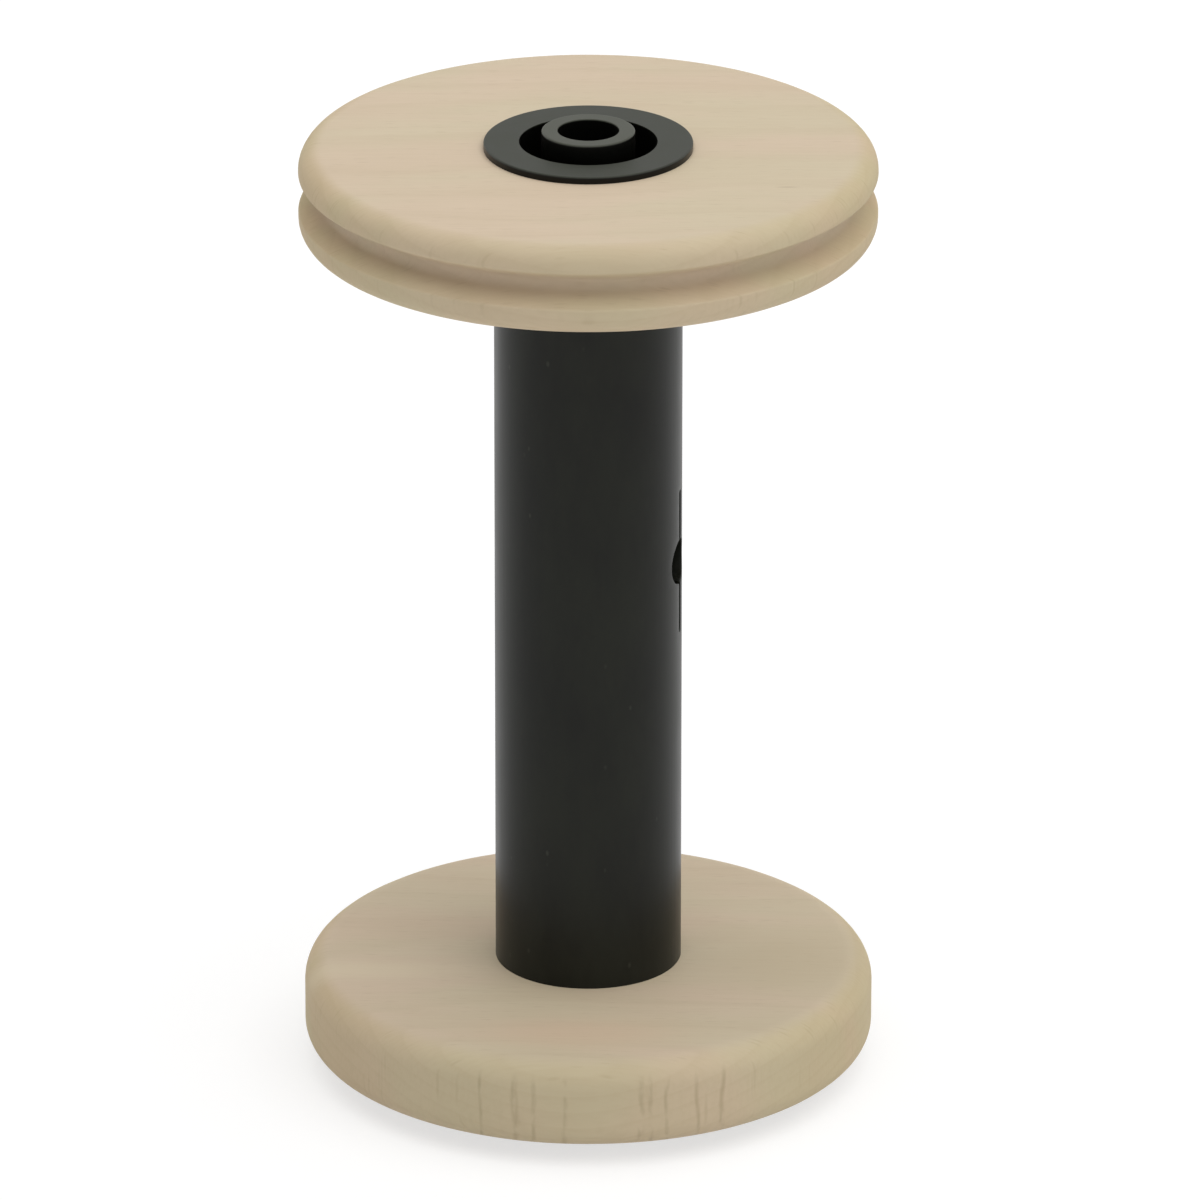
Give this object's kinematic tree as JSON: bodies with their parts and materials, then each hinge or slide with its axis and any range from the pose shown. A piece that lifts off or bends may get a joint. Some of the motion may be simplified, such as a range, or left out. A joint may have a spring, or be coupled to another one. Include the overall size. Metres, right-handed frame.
{
  "type": "spinning wheel bobbin",
  "caption": "Spinning wheel bobbin: a black plastic tube between round wooden flanges, one grooved for the drive band, with plastic spindle bushes in the ends.",
  "frame": {"origin": "on the bobbin's axis, at the hub end of the far end bush, which the bobbin stands on", "axes": "+Z along the axis from the plain end flange to the grooved drive flange, +X through the leader hole"},
  "size_m": [0.098, 0.098, 0.17],
  "materials": {
    "turned_wood": "pale beech, turned and sanded, unvarnished",
    "tube_plastic": "charcoal black plastic pipe, satin",
    "bush_plastic": "moulded black plastic, satin"
  },
  "bodies": {
    "root": {"core_tube": "tube_plastic", "drive_flange": "turned_wood", "end_flange": "turned_wood", "drive_end_bush": "bush_plastic", "far_end_bush": "bush_plastic"}
  },
  "joints": []
}
